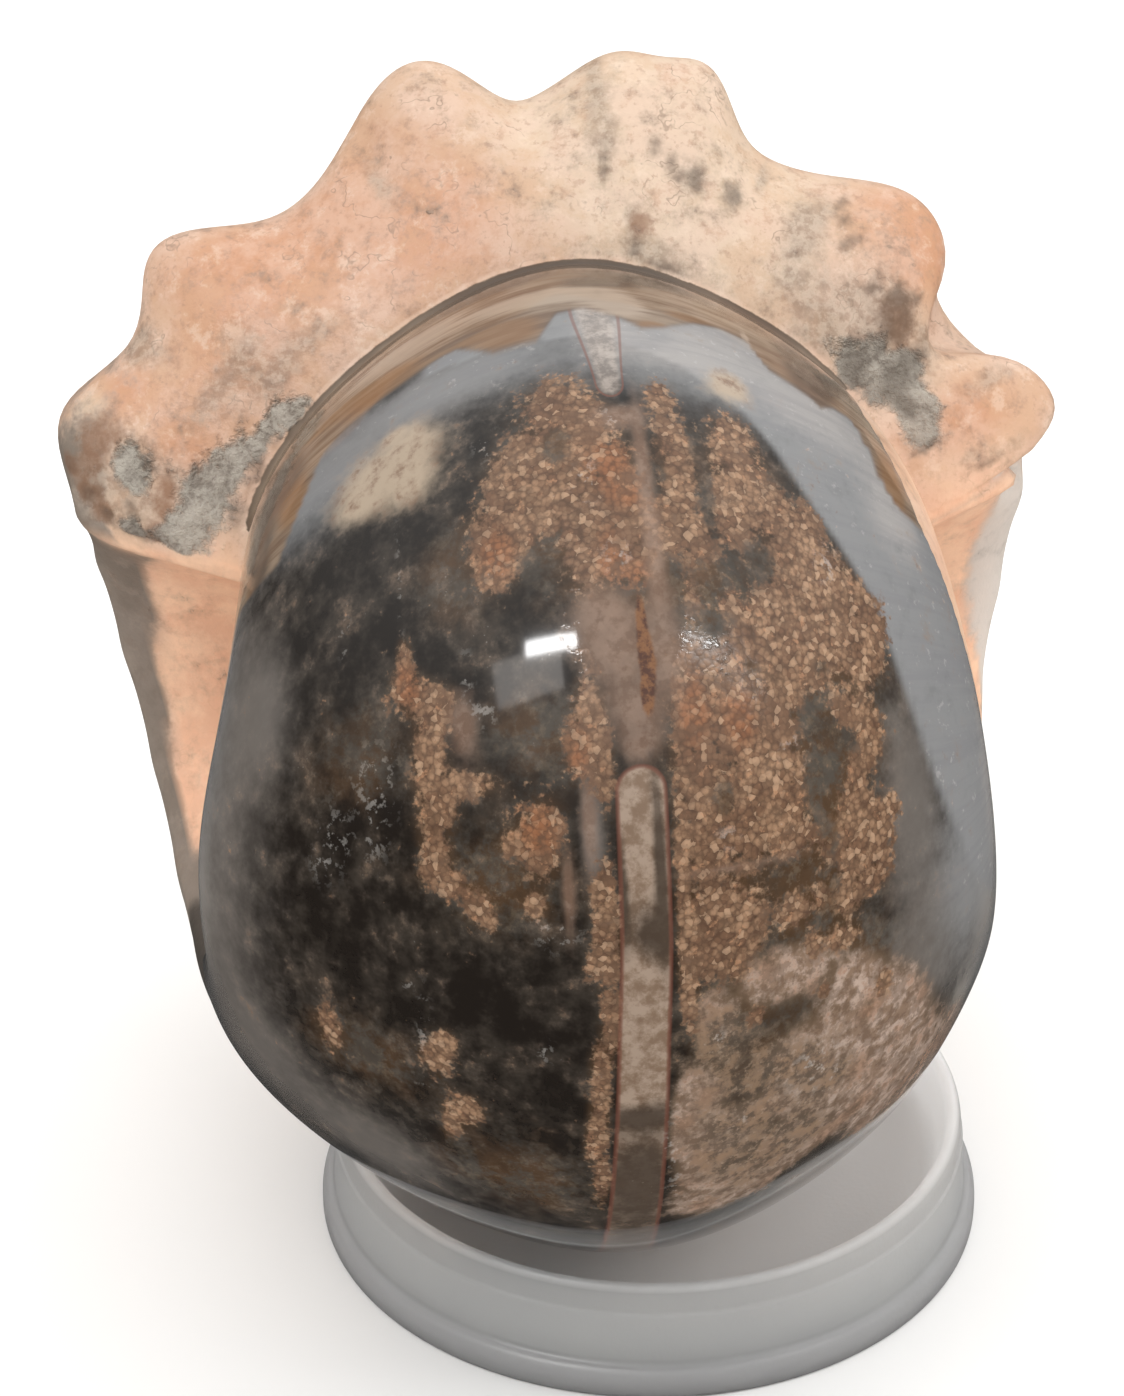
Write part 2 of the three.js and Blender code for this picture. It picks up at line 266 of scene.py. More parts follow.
# The others are patches, each a place and a size: around, back, half-breadth, half-length, all in
# degrees. Around is measured round the section from the outer side, left of it negative, and back
# from the open end.
PATCHES = {
    "crust": [
        (0, 314.5, 4, 4), (0.5, 307, 3, 3), (-9.5, 324.5, 5.5, 3.6), (-4, 321, 4, 3.5),
        (-15, 317, 5.5, 4), (-20, 312.5, 4.5, 4), (-25, 307.5, 3, 3.5), (-23, 304, 3.5, 2.2),
        (-17.5, 309, 5, 3), (-10, 313, 4, 4), (-8.5, 307, 2.5, 6), (-5.5, 303.5, 3, 2), (-2, 308, 4, 4),
        (3, 305, 4, 5), (3, 311.5, 3, 3), (13.5, 318.5, 3, 3.2), (14.5, 312, 3, 5.5),
        (16, 305.5, 3.5, 2), (10.5, 307, 2.5, 3), (13, 325, 3.2, 2.6), (26, 315, 4.5, 6),
        (30, 311.5, 4, 4.5), (24, 308, 3.2, 3), (27, 321, 3.2, 2.6), (33.5, 310.5, 2.4, 2.6),
        (39, 308, 3.2, 4), (36, 304.5, 3.5, 3.5), (42, 302.5, 4, 3.5), (46, 300, 3.2, 2.5),
        (50, 297, 2.4, 2.6), (34, 298, 6, 4), (38, 296, 7, 4), (30, 296.5, 5, 2.6), (26, 294.5, 5, 2.2),
        (43, 294, 5, 3.6), (47, 291.5, 3.6, 3), (21.5, 292.5, 3, 1.4), (29, 289, 5, 4.5),
        (35, 291, 4, 2.6), (22, 287.5, 4, 3.6), (14, 290, 3.6, 2.6), (12.5, 285, 3.6, 4.6),
        (20, 283, 4, 3), (27, 281.5, 4.5, 4), (22, 276.5, 3.6, 3.4), (28.5, 275.5, 4.6, 4),
        (13, 278, 3.6, 5.5), (9.6, 282, 1.6, 6), (42, 285, 3.2, 2), (46.5, 282, 2, 3.2),
        (43.5, 278.5, 2.6, 2.4), (42, 273.5, 2.6, 3.6), (45.5, 271, 2.6, 2.2), (49.5, 272, 1.2, 1.8),
        (42, 267, 3.6, 3), (46.5, 266, 2.2, 2.6), (37, 269, 2.6, 3), (44, 262.8, 2.6, 1.4),
        (14.5, 261.5, 5, 4.4), (17, 302.5, 2.4, 2), (21.5, 298, 2.2, 1.6), (14.5, 298, 1.8, 3),
        (39, 262, 2.6, 1.8), (34.5, 263, 1.8, 1.8), (37.5, 257, 3, 1.6), (32, 257.5, 1.4, 1.8),
        (29, 262.5, 3.2, 2), (14, 272.5, 4.6, 2.6), (22, 272, 4.6, 2.4), (30, 271, 3.6, 1.8),
        (13, 265, 3.6, 3.6), (19, 263, 4.6, 3.6), (18.5, 259, 3, 1.8), (12, 260.5, 2.6, 2),
        (21, 251, 1.8, 1.2), (-40.5, 296, 1.1, 1.8), (-41, 292.5, 2, 1.8), (-38.5, 290, 3.2, 2),
        (-34.5, 289.5, 2.2, 1.4), (-36.5, 286.5, 2.2, 2.8), (-37, 282.5, 2.2, 3),
        (-31.5, 279.8, 4.6, 1.2), (-35.5, 277.5, 2.8, 2.6), (-36.8, 272.5, 2.2, 3.2),
        (-38, 269.5, 1.4, 1.4), (-34, 268, 2.6, 1.6), (-30, 265.8, 2.6, 1.6), (-28, 264, 1.2, 1),
        (-18.5, 274.5, 4, 3.4), (-23.5, 273, 2, 1.1), (-19.5, 271.2, 2.6, 1.4), (-20, 266.5, 2, 1.4),
        (-8.5, 288.5, 1.8, 2.6), (-7, 284.5, 2.4, 2.8), (-6, 280.5, 1.7, 3.6), (-10.5, 283, 2.6, 3),
        (-7.5, 268.5, 2.2, 3), (-7.5, 262, 2.4, 4), (-10.5, 259.5, 1.2, 1), (-6.8, 254, 1.8, 3.6),
        (-9, 247, 1.7, 3), (-9.5, 240, 1.6, 4), (-10.5, 235, 1.5, 2.6), (-8.8, 229, 1.5, 4.5),
        (7.6, 268, 1.1, 8), (8, 256, 1.4, 5), (-55, 241.5, 2, 3.6), (-37.5, 244, 2.2, 2.8),
        (-35.5, 247, 1.2, 1.5), (-32.5, 236.5, 2.4, 2.2), (-35, 233, 1.3, 2.6), (45.5, 247, 1.6, 2.2),
        (34, 251, 1.4, 1),
    ],
    "hollow": [
        (-14.5, 304, 3.5, 2.2), (11.2, 315, 0.9, 2.4), (19.4, 316, 1.3, 4.6), (19.6, 308.5, 1, 2.6),
        (28.5, 303, 2.4, 2.6), (35.5, 317, 2.4, 3), (17.5, 300.5, 4, 2.2), (35.5, 284.5, 2.6, 2.4),
        (39.5, 280.5, 3, 1.4), (34.5, 276, 1.8, 3.2), (38, 290.5, 1.2, 0.8), (17, 276.5, 1.6, 2),
        (17, 295.5, 4, 1.4), (36, 265, 1.6, 2), (24, 291, 1.4, 0.8), (9, 299, 2.2, 4),
        (28, 267, 2.6, 1.4), (35, 260.5, 2, 2), (24, 257.5, 3, 2.6), (36.5, 271, 1.4, 3.5),
        (-10, 318.5, 2.4, 2.2),
    ],
    "mottle": [
        (42, 240, 6, 5), (47, 244, 3.6, 3.6), (36, 242.5, 5, 2.6), (50, 236, 4.6, 7), (42, 231, 8, 6),
        (34.5, 236, 3.6, 4), (52, 224, 6, 9), (31, 225, 4.6, 2.6), (23, 222.5, 5, 2.2),
        (16, 225.5, 3.6, 1.8), (11, 229, 3, 4), (8, 236, 3.4, 7), (10.5, 242, 3.6, 3.4),
        (16, 236, 4.6, 2.6), (25, 238, 4.6, 1.8), (60, 214, 7, 10), (46, 220, 6, 4), (27, 255, 8, 3),
        (13, 252, 3, 3), (40, 250, 5, 3), (16, 233, 3, 1.8), (25, 229.5, 4, 2), (28, 235, 3, 2),
        (14, 222, 8, 4), (30, 243, 6, 4),
    ],
    "murk": [(18, 232, 9, 9), (26, 242, 9, 4), (34, 236, 5, 2.4), (29, 228, 7, 4), (14, 249, 5, 4)],
    "veil": [
        (-43, 323, 7.5, 4.2), (-37.5, 326, 4.5, 3), (-47, 320.5, 4, 2.6), (-38, 320, 3.6, 3.2),
        (28, 329, 4, 2.6), (-40, 329, 2.4, 1),
    ],
    "amber": [
        (-11, 310, 9, 9), (19, 299.5, 8, 4.5), (2, 306, 8, 12), (-26, 269, 10, 5), (-18, 285, 9, 4),
        (26, 264, 12, 6), (28, 266, 5, 3), (-49, 284, 7, 6), (24, 250, 12, 7), (42, 252, 9, 6),
        (30, 286, 22, 14), (-24, 226, 12, 7), (38, 279, 6, 8), (22, 246, 8, 5), (20, 232, 9, 6),
        (-50, 240, 9, 5), (-30, 305, 6, 5),
    ],
    "rust": [
        (0.5, 315, 5, 3.4), (3, 311.5, 3, 2), (-1, 303, 3, 4), (4.4, 301, 2, 2), (-11, 283, 2.4, 2.6),
        (-23, 306, 3, 3), (-19, 275, 4, 3), (-40, 292, 2, 3), (21, 285, 3, 3), (12, 286, 3, 4),
    ],
    "soot": [(-98, 170, 14, 16), (-92, 186, 14, 12)],
    "eye": [(3.4, 296, 1.0, 3.4), (4, 291.5, 1.6, 3), (3.2, 288, 1.1, 1.8)],
    "pale": [
        (7.4, 315, 1.4, 8), (7.4, 303, 1.7, 6), (-2, 293.5, 6, 4), (8, 293, 3.4, 4.6), (1, 287, 5, 3),
        (1, 283.5, 3, 1.8), (3, 321.5, 4.6, 1.4), (-4, 297.5, 5, 2.4), (-9.5, 275.5, 1.4, 4.5),
        (-14, 268, 1, 4), (18, 269, 12, 0.4), (-31, 286.5, 2, 3.6),
    ],
    "tube_dark": [
        (-1.4, 240, 7, 1.8), (-2, 229, 7, 8), (-2, 206, 8, 16), (3.6, 270, 1.3, 10), (1.2, 263, 4, 3),
        (-4, 268, 1, 6),
    ],
    # the haze: partly real cloudy calcite, partly painted reflection of the bright surroundings
    "haze_and_sheen": [
        (74, 330, 18, 22), (90, 300, 14, 40), (100, 260, 18, 50), (34, 331, 24, 6), (12, 334, 14, 5),
        (-26, 334, 24, 4.5), (-60, 329, 13, 8), (-92, 306, 9, 30), (-104, 270, 14, 40),
        (84, 216, 12, 12), (68, 254, 8, 14),
    ],
    "smoke": [
        (-86, 290, 14, 40), (-86, 240, 13, 34), (-48, 331, 16, 5), (76, 245, 9, 20), (62, 206, 16, 8),
        (-70, 222, 10, 12), (-48, 218, 12, 8), (-9, 274, 2, 5), (40, 206, 14, 5), (57, 248, 9, 12),
        (-33, 334, 12, 4), (54, 272, 6, 14), (38, 214, 14, 5), (-70, 292, 6, 10),
    ],
    # lighter grey at the limbs: partly the calcite's clearer edge, partly painted reflection of the pale
    # floor
    "edge": [(-92, 246, 9, 28), (81, 244, 9, 24), (66, 222, 5, 8)],
    # the glow: lighter places in the haze, partly real cloud and partly painted reflection
    "glow": [
        (28, 338, 10, 5), (46, 331, 12, 6), (60, 318, 6, 8), (4, 335, 6, 5), (86, 270, 8, 30),
        (20, 333, 9, 3),
    ],
    "sparkle": [
        (-46.5, 280, 2.6, 3.4), (-47, 274, 1.6, 3), (-53.5, 272.5, 2, 3), (-56, 268.5, 1.4, 2),
        (-23.5, 321, 1.6, 1.6), (-16.5, 263.5, 3, 1.4), (-27.5, 288, 2, 1.2), (-30, 292.5, 0.8, 2),
        (31, 281, 2, 1.6), (35, 234.5, 1.6, 2.6), (5, 234, 1.8, 4), (6, 227, 1.8, 1.8),
        (17.5, 236.5, 1.4, 1), (-39.5, 239, 1.3, 0.8), (-39.5, 248, 0.7, 4), (-19, 248.5, 1, 1),
        (32, 240, 4, 3), (2.4, 321.5, 1.8, 1.2), (-5, 313, 2, 2), (0, 303.5, 2, 1.4),
        (17, 272.5, 1.6, 0.8), (13, 249.5, 1.6, 0.8), (-41, 306, 0.25, 6), (-51, 300, 0.8, 2),
        (24, 288, 1.4, 1.6), (42, 304, 2, 2), (-42, 254, 0.7, 0.7),
    ],
    "ochre": [
        (-16, 339, 7, 2.4), (-20, 341.5, 9, 1.2), (-42, 342, 9, 3), (-62, 331, 4, 6), (62, 325, 3, 8),
        (15, 338.5, 4, 1), (24, 343, 6, 1.2), (-74, 314, 3, 10), (-50, 345, 9, 1.6),
    ],
    "shade": [
        (-18, 356, 14, 3.2), (16, 355, 13, 4.4), (47, 340, 5.5, 6), (-72, 326, 4, 9), (-66, 340, 7, 8),
        (0, 361, 32, 2.2), (50, 350, 7, 6), (4, 350, 8, 2),
    ],
    "ivory": [
        (-10, 347, 14, 2.2), (8, 342.5, 6, 2.4), (-36, 350, 12, 4), (35, 343, 1, 3),
        (45, 343.5, 0.7, 2), (2, 346, 8, 2),
    ],
    "cream": [
        (12, 7, 17, 7), (34, 5, 12, 4), (24, 2, 18, 1.6), (18, 13, 16, 4), (36, 10, 4, 3),
        (-4, 11, 5, 4), (-74, 12, 3, 2),
    ],
    "pink": [
        (-52, 5, 14, 4), (-24, 3, 14, 3), (-40, 9, 12, 3), (54, 9, 5, 3), (77, 5, 5, 3),
        (-70, 10, 4, 3), (36, 4, 3, 2), (-73, 4.3, 4, 1.6), (56, 11, 6, 3), (50, 9, 6, 3),
    ],
    "crystal": [
        (-91, 3.4, 4.5, 1.1), (-86, 2.7, 5, 1.1), (-80.5, 2.3, 5, 1.1), (-75.5, 2.0, 4, 1.0),
        (-71.5, 1.6, 3, 0.7), (-66, 1.0, 3.5, 0.5), (-61, 0.8, 3, 0.5), (-58, 0.5, 2.2, 0.4),
        (-81, 6.8, 2.4, 1.2), (-78.5, 7.5, 1.8, 0.9), (-90, 6.6, 2.0, 0.9), (62, 2.2, 5, 1.4),
        (70, 2.3, 5, 1), (74.5, 1.6, 3, 0.7), (59, 1.1, 3.6, 0.6), (65, 3.6, 2, 1.2),
    ],
    "rusty": [
        (-84.5, 4.6, 2.6, 0.8), (-90, 5.0, 2.2, 0.7), (-81, 4.7, 2, 0.6), (-85.5, 11, 1.8, 1.4),
        (-82, 13.5, 1.4, 1.8), (-77.5, 9.8, 4, 1.8), (60, 4.6, 4, 1.2), (15, 2.2, 2, 0.5),
        (-88, 9, 1.6, 1),
    ],
    "smudge": [
        (58, 4.0, 7, 2.0), (41, 6.4, 2.6, 2.8), (56, 3.4, 4, 1.2), (65, 4.4, 3, 2.4),
        (8.4, 6.2, 1.6, 2), (6.4, 9.5, 1.6, 3.4), (22, 5.4, 2.4, 0.8), (29.6, 5.9, 1.7, 0.9),
        (13.4, 2.4, 1.6, 0.5), (14, 0.9, 4, 0.5), (22, 0.4, 5, 0.5), (86.5, 6.5, 1.6, 2),
        (84, 3.6, 0.8, 0.8), (52, 2.2, 5, 1.2), (-84, 5, 3.4, 1.6), (-87, 9, 2, 3.5),
        (-64, 11.5, 2.2, 2.4), (-28, 8, 1.4, 1.6), (-54, 2.4, 8, 0.8), (78, 1.6, 1.2, 1),
        (75, 8, 1.2, 3), (-79, 4, 2, 0.7), (50, 2.4, 8, 1.6), (61, 3.4, 6, 2), (19, 1, 4, 0.5),
        (-83, 8.5, 5, 3), (-77, 9, 2, 2.4), (-60, 4.2, 8, 0.8), (92, 7, 2, 3), (33, 9.5, 0.8, 2),
    ],
    # dark brown stains, and painted shadow beside the crown's crystals and in its crevices
    "stain_and_shadow": [
        (29.5, 6, 1.5, 0.8), (43.4, 9.4, 0.7, 0.9), (44.8, 8, 0.7, 0.8), (46.6, 6.2, 0.9, 0.8),
        (16, 6.3, 1.2, 0.5), (19, 6, 1, 0.4), (23, 5.7, 1.2, 0.4), (7.6, 4.9, 0.5, 0.8),
        (59, 4.0, 3, 1.2), (65, 2.6, 2, 0.9), (57.5, 5.6, 1.8, 0.4), (61, 4.8, 1, 0.9),
        (64.5, 3.4, 1, 1.2), (53, 4.6, 1.2, 0.4), (56, 5.4, 1, 0.7), (58.5, 7, 0.8, 0.6),
        (14.6, 0.95, 1.2, 0.3), (22, 0.25, 4, 0.3), (58.5, 1.3, 1.8, 0.5), (60.5, 0.7, 2.6, 0.35),
        (66, 1.8, 1, 0.7), (70, 1.7, 2.4, 0.4), (78.2, 1.4, 0.5, 0.7), (60, 3, 1, 1), (56, 2, 1, 0.5),
        (65.5, 5.2, 1, 1.4), (-71.5, 0.5, 3, 0.4), (-80.5, 0.65, 2.8, 0.3), (-76.2, 3.2, 2.4, 0.3),
        (-78.5, 5.9, 1, 0.5), (-86, 6.8, 1.4, 0.6), (-86, 10.8, 1.2, 1), (-82, 13.5, 0.9, 1.2),
        (-88.5, 8.6, 1, 0.7), (-65, 0.5, 1.1, 0.22), (-69.6, 4.4, 0.3, 1.2), (-31, 3.05, 0.4, 0.15),
        (-24.5, 4.8, 0.35, 0.2), (20.5, 5.3, 1, 0.3), (23.6, 5.1, 1, 0.3), (8.2, 5, 0.7, 0.6),
        (-91, 6, 2.4, 1.6), (86.4, 5, 0.6, 1),
    ],
    "weathered": [
        (-70, 150, 40, 34), (80, 155, 34, 30), (0, 172, 80, 16), (-38, 92, 34, 30), (44, 66, 26, 24),
        (30, 130, 40, 26), (-8, 60, 16, 12), (100, 60, 14, 20), (-60, 40, 16, 12), (8, 104, 16, 10),
    ],
    "chalk": [(100, 9, 3, 1.5)],
    # painted light: brighter peach where the wedges and flanks turn away from the lamps
    "blush": [
        (-95, 0.9, 6, 1.0), (-104, 1.6, 9, 2.2), (-106, 5, 6, 5), (-112, 12, 8, 8), (84, 320, 9, 26),
        (96, 3, 9, 6), (86, 345, 10, 14),
    ],
}

# Where the body's skin fades out underneath, and the lines on the flanks where its grey skin on the
# left and its chalky skin on the right end.
BODY_END = (185, 200)
BAND_BACK = [7, 20, 52, 69, 83, 95, 108, 120, 130, 150]
BAND_LEFT = [106, 119, 115, 113.5, 112, 109.5, 108.5, 107, 107.5, 112]
BAND_RIGHT = [107, 112, 116, 115.5, 112, 104, 96, 92, 90, 90]

# The siphuncle's tube: half its breadth, where its lower and upper lengths end, and its middle,
# which wanders a little to the side.
TUBE_HALF, TUBE_TOP = 4.7, 281
NECK_LOW, NECK_HIGH = 324.5, 342
TUBE_BACK = [212, 230, 240, 250, 262, 280, 325, 340]
TUBE_MIDDLE = [-2.4, -1.9, -1.4, -0.9, 0.2, 0.8, 2.8, 2.2]
# A value of the tube's masks that is far from the tube.
FAR = 9
# The places back of the shell layer's lower edge, going round the section.
RIM_AROUND = [
    -90, -66, -62, -58, -55, -50, -30, -27, -20, -11, -6, 0, 8, 12,
    17, 24, 30, 35, 38, 46, 48, 51, 55, 57, 59, 62, 70,
]
RIM_BACK = [
    317, 319, 325, 331, 336.5, 338.5, 341, 341, 336.3, 336, 341.5, 342, 339.5, 337.5,
    338.7, 342, 343.5, 343, 337, 335, 333.7, 336, 336.5, 333, 323, 319.5, 318,
]
# Where the limestone of the last whorl takes over from the calcite: underneath, in a wavy line, and
# on each side.
STONE_EDGE = 188
WALL_BACK = [190, 240, 260, 280, 300, 310, 320, 330, 345]
WALL_LEFT = [104, 102, 100, 98, 94, 91, 88, 86, 83]
WALL_RIGHT = [100, 94, 90, 86, 78, 74, 68.5, 66, 61]
# Where the bank of cloud on the right begins, partly real cloud and partly painted reflection: its edge's
# places back, and around at each.
BANK_BACK = [225, 240, 255, 262, 272, 280, 290, 300, 306, 312, 320, 325, 331, 335, 338]
BANK_AROUND = [92, 78, 68, 65, 60, 57, 53.5, 50.5, 46, 41, 35, 30, 18, 2, -34]


def patch_field(around, back, patches):
    """1 in the middle of a patch, a half at its edge, and near 0 outside it."""
    clear = np.ones_like(around)
    for middle, place, breadth, length in patches:
        distance = ((around - middle) / breadth) ** 2 + ((back - place) / length) ** 2
        clear *= 1 - np.exp(-0.7 * distance)
    return 1 - clear


def rise(value, low, high):
    """0 under low, 1 over high, and smooth between them."""
    share = np.clip((value - low) / (high - low), 0, 1)
    return share * share * (3 - 2 * share)


def fall(value, low, high):
    """1 under low, 0 over high, and smooth between them."""
    return 1 - rise(value, low, high)


def past_line(distance):
    """0 before a line on the stone and 1 past it, a little soft across it."""
    return rise(distance, -1, 1.5)


def stone_fields(around, back):
    """Every mask that the stone's material reads, for the places of the last whorl."""
    fields = {name: patch_field(around, back, patches) for name, patches in PATCHES.items()}
    fields.update(front_fields(around, back))
    for name, more in flank_fields(around, back).items():
        fields[name] = np.maximum(more, fields.get(name, 0))
    return fields


def front_fields(around, back):
    """The masks of the polished front: its calcite, shell layer, siphuncle and bank of cloud, partly a
    painted reflection.
    """
    wall = sum(rise(side * around - np.interp(back, WALL_BACK, edge), -1, 1)
               for side, edge in ((1, WALL_RIGHT), (-1, WALL_LEFT)))
    turn = np.radians(around)
    stone_edge = STONE_EDGE + 4 * np.sin(5 * turn) + 2.5 * np.sin(11 * turn + 1)
    calcite = rise(back - stone_edge, -2, 2) * (1 - wall)
    rim = rise(back - np.interp(around, RIM_AROUND, RIM_BACK), -0.8, 0.8) * calcite
    # in the tube's masks 0 is its middle and 1 its wall, which closes round its ends
    from_middle = np.abs(around - np.interp(back, TUBE_BACK, TUBE_MIDDLE)) / TUBE_HALF
    past_top = np.maximum(back - TUBE_TOP + 2.5, 0) / 2.5
    widening = 0.6 + 0.5 * rise(back, NECK_LOW, NECK_HIGH)
    past_neck = np.maximum(NECK_LOW + 2 - back, 0) / 2
    return {
        "calcite": calcite,
        "rim": rim,
        "tube": np.hypot(from_middle, past_top),
        "neck": np.hypot(from_middle / widening, past_neck) + FAR * (back > NECK_HIGH + 1),
        "bank": past_line(around - np.interp(back, BANK_BACK, BANK_AROUND)) * (1 - rim),
    }


def flank_fields(around, back):
    """The masks of the flanks: grey and chalky skin, and painted light on the peach stone where it ends."""
    past_left = -around - np.interp(back, BAND_BACK, BAND_LEFT)
    past_right = around - np.interp(back, BAND_BACK, BAND_RIGHT)
    # on the left the grey skin reaches from the crown's edge far over the flank, and fades there
    reach = np.maximum(rise(-around, 78, 86) * fall(back, 20, 40), rise(-around, 50, 100))
    # past the bands the stone gets painted light, as the flanks there turn away from the lamps
    beyond_bands = (past_line(past_left) + past_line(past_right)) * rise(back, 0.6, 1.8)
    return {
        "patina": past_line(-past_left) * reach * rise(back, 7, 10) * fall(back, *BODY_END),
        "chalk": fall(past_right, -4, 4) * rise(around, 84, 94) * rise(back, 7, 22) * fall(back, 95, 125),
        "blush": np.clip(beyond_bands * fall(back, *BODY_END), 0, 1),
    }


# ---- meshes ----


def grid_faces(rings, sides, first, closed):
    """Quads between rings of points, each ring closed on itself."""
    faces = []
    for i in range(rings if closed else rings - 1):
        here, after = first + i * sides, first + ((i + 1) % rings) * sides
        for j in range(sides):
            k = (j + 1) % sides
            faces.append((here + j, after + j, after + k, here + k))
    return faces


def new_piece(name, points, faces, material):
    """A smooth mesh object that rides on the row's one body."""
    mesh = bpy.data.meshes.new(name)
    mesh.from_pydata([tuple(p) for p in points], [], faces)
    mesh.validate()
    mesh.update()
    mesh.shade_smooth()
    mesh.materials.append(material)
    piece = bpy.data.objects.new(name, mesh)
    bpy.context.scene.collection.objects.link(piece)
    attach(piece, "root")
    return piece


def steps(*stretches):
    """Angles from a start to an end in even steps, stretch after stretch."""
    return np.concatenate([np.arange(start, end - step / 2, step) for start, end, step in stretches])


def rough_height(point, size):
    """Fine unevenness at a place, from -1 to 1, with lumps of about this size in millimetres."""
    return noise.fractal(Vector(point) / (size * MM), 0.7, 2.0, 3)


def make_last_whorl(coil):
    """The points and masks of the last whorl, which closes on itself."""
    backs = steps((0, 16, 0.4), (16, 186, 2.5), (186, 360, 0.75))
    half = steps((0, 56, 0.8), (56, 100, 1.4), (100, 180, 4.5))
    arounds = np.concatenate([half, -half[:0:-1]])
    around, back = np.meshgrid(arounds, backs)
    across, out = whorl_point(coil, around, back)
    points = on_coil(coil, across, out, back)
    # the seam's ring belongs to the polished front, which ends there
    looks_back = np.where(back == 0, 360.0, back)
    fields = stone_fields(around, looks_back)
    dents = sum(knob_height(dent, around, back) for dent in DIMPLES)
    rough = np.zeros_like(around)
    rugged = np.maximum(fields["crystal"], fields["stain_and_shadow"]) * (back < 30) * (back > 0)
    for i, j in zip(*np.nonzero(rugged > 0.3)):
        rough[i, j] = CRYSTAL_HEIGHT * rugged[i, j] * rough_height(points[i, j], CRYSTAL_SIZE)
    height = (dents + rough) * MM
    direction = np.radians(around)
    points = on_coil(coil, across + height * np.sin(direction), out + height * np.cos(direction), back)
    along = np.where(looks_back < STONE_EDGE, looks_back + 360, looks_back)
    skin = [around * DEGREE_AROUND * MM, along * DEGREE_BACK * MM, 0 * along]
    fields["place"] = np.stack(skin, axis=-1)
    return points, fields


def make_early_whorls(coil):
    """The points of the whorls inside it, with low ribs."""
    backs = steps((EARLY_START, 360 * (1 + EARLY_TURNS), 5))
    arounds = steps((0, 360, 7.5))
    turn, back = np.meshgrid(arounds, backs)
    around = np.where(turn > 180, turn - 360, turn)
    share = coil_share(back, "radius") / coil_share(np.array(360.0), "radius")
    ribs = EARLY_RIB_HEIGHT * np.cos(np.radians(back) * EARLY_RIBS)
    ribs = ribs * bell(np.abs(around) - EARLY_RIB_PLACE, EARLY_RIB_BREADTH)
    height = (ribs * share - EARLY_SUNK) * MM
    across, out = section_point(coil, around, back)
    direction = np.radians(around)
    return on_coil(coil, across + height * np.sin(direction), out + height * np.cos(direction), back)


def make_core(coil, first):
    """The small ball in the middle of the coil: its points, and its faces numbered on from the first."""
    turns, rows = 24, 11
    slope = np.pi * np.arange(1, rows + 1) / (rows + 1)
    slopes, backs = np.meshgrid(slope, np.arange(turns) * 360 / turns)
    across, out = CORE_HALF_WIDTH * MM * np.cos(slopes), CORE_RADIUS * MM * np.sin(slopes)
    ends = on_coil(coil, np.array([1, -1]) * CORE_HALF_WIDTH * MM, np.zeros(2), np.zeros(2))
    points = np.concatenate([on_coil(coil, across, out, backs).reshape(-1, 3), ends])
    faces = []
    near, far = first + turns * rows, first + turns * rows + 1
    for i in range(turns):
        here, after = first + i * rows, first + (i + 1) % turns * rows
        faces.append((near, after, here))
        faces.append((far, here + rows - 1, after + rows - 1))
        faces += [(here + j, after + j, after + j + 1, here + j + 1) for j in range(rows - 1)]
    return points, faces


# The masks of the whorls inside and of the core: a thin grey skin, and no tube.
INNER_MASKS = {"patina": 0.42, "tube": FAR, "neck": FAR}


def add_fields(mesh, fields):
    """Writes each mask to the mesh for the material to read."""
    for name, values in fields.items():
        kind, key = ("FLOAT_VECTOR", "vector") if name == "place" else ("FLOAT", "value")
        mesh.attributes.new(name, kind, "POINT").data.foreach_set(key, values.ravel())


# ---- materials ----


def node(tree, kind, inputs=None, **settings):
    """Adds a node with its settings; an input is a value, or the output of another node."""
    made = tree.nodes.new(kind)
    for name, value in settings.items():
        setattr(made, name, value)
    for socket, value in (inputs or {}).items():
        if isinstance(value, bpy.types.NodeSocket):
            tree.links.new(value, made.inputs[socket])
        else:
            made.inputs[socket].default_value = value
    return made


def new_material(name):
    """A material with an empty node tree."""
    material = bpy.data.materials.new(name)
    material.use_nodes = True
    material.node_tree.nodes.clear()
    return material


# The natural patterns in the stone: the size of their lumps in millimetres, detail and roughness.
STONE_PATTERNS = {
    "fine": (0.45, 2, 0.6), "flecks": (0.9, 3, 0.7), "small": (1.2, 4, 0.65),
    "blotches": (2.4, 5, 0.72), "middle": (3.0, 4, 0.65), "clouds": (5.5, 5, 0.7),
    "waves": (7.0, 4, 0.6), "large": (8.0, 3, 0.6),
}
# The streaks of the shell layer and of the haze: their breadth, and how far they are drawn out.
STREAK_SIZE, STREAK_LENGTH = 1.3, 0.12
# The crusts' grains are drawn a little coarse, so that they show, and are shifted out of line.
GRAIN_SIZE, GRAIN_SHIFT, GRAIN_WOBBLE = 0.42, 0.3, 0.5


